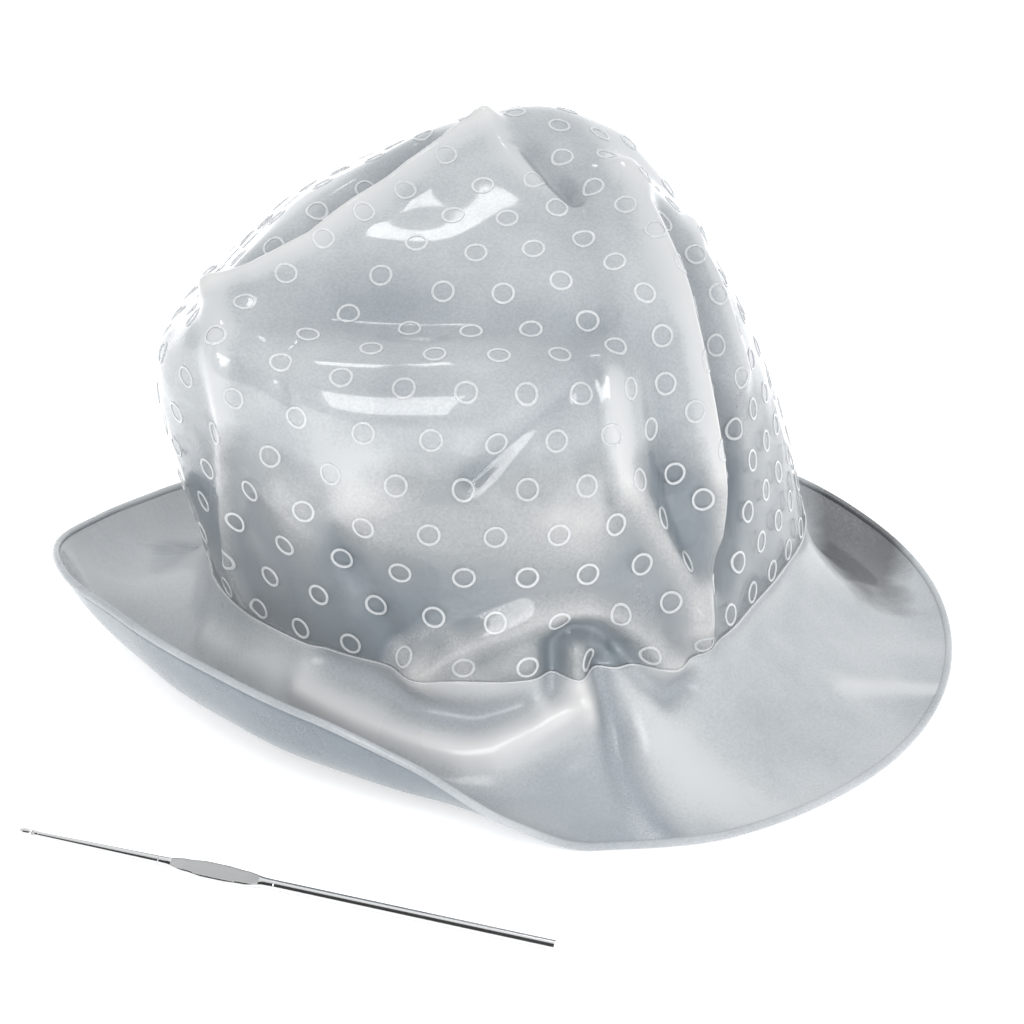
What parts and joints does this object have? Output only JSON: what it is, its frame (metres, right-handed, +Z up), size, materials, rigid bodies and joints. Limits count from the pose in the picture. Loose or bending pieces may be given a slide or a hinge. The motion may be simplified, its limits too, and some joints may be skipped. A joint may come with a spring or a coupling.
{
  "type": "highlighting cap",
  "caption": "Soft translucent silicone cap with a wavy brim and raised ring marks, with a steel crochet hook that draws hair strands through it.",
  "frame": {"origin": "centre of the head opening, on the surface that the cap stands on", "axes": "+Z up through the crown, -Y towards the front where the hook lies, +X to the cap's right as seen from the front"},
  "size_m": [0.2654, 0.3023, 0.1607],
  "materials": {
    "silicone": "milky translucent silicone with a soft gloss",
    "hook_steel": "bright polished steel"
  },
  "bodies": {
    "cap": {"crown_shell": "silicone", "crown_base_line": "silicone", "brim": "silicone", "rim_bead": "silicone", "ring_row_01": "silicone", "ring_row_02": "silicone", "ring_row_03": "silicone", "ring_row_04": "silicone", "ring_row_05": "silicone", "ring_row_06": "silicone", "ring_row_07": "silicone", "ring_row_08": "silicone", "ring_row_09": "silicone", "ring_row_10": "silicone", "ring_row_11": "silicone", "ring_row_12": "silicone", "ring_row_13": "silicone"},
    "hook": {"hook_shank": "hook_steel", "hook_thumb_grip": "hook_steel", "hook_neck": "hook_steel", "hook_head": "hook_steel"}
  },
  "joints": [
    {"name": "hook_lift", "type": "slide", "parent": "cap", "child": "hook", "axis": [0, 0, 1], "range_m": [0, 0.25]}
  ]
}
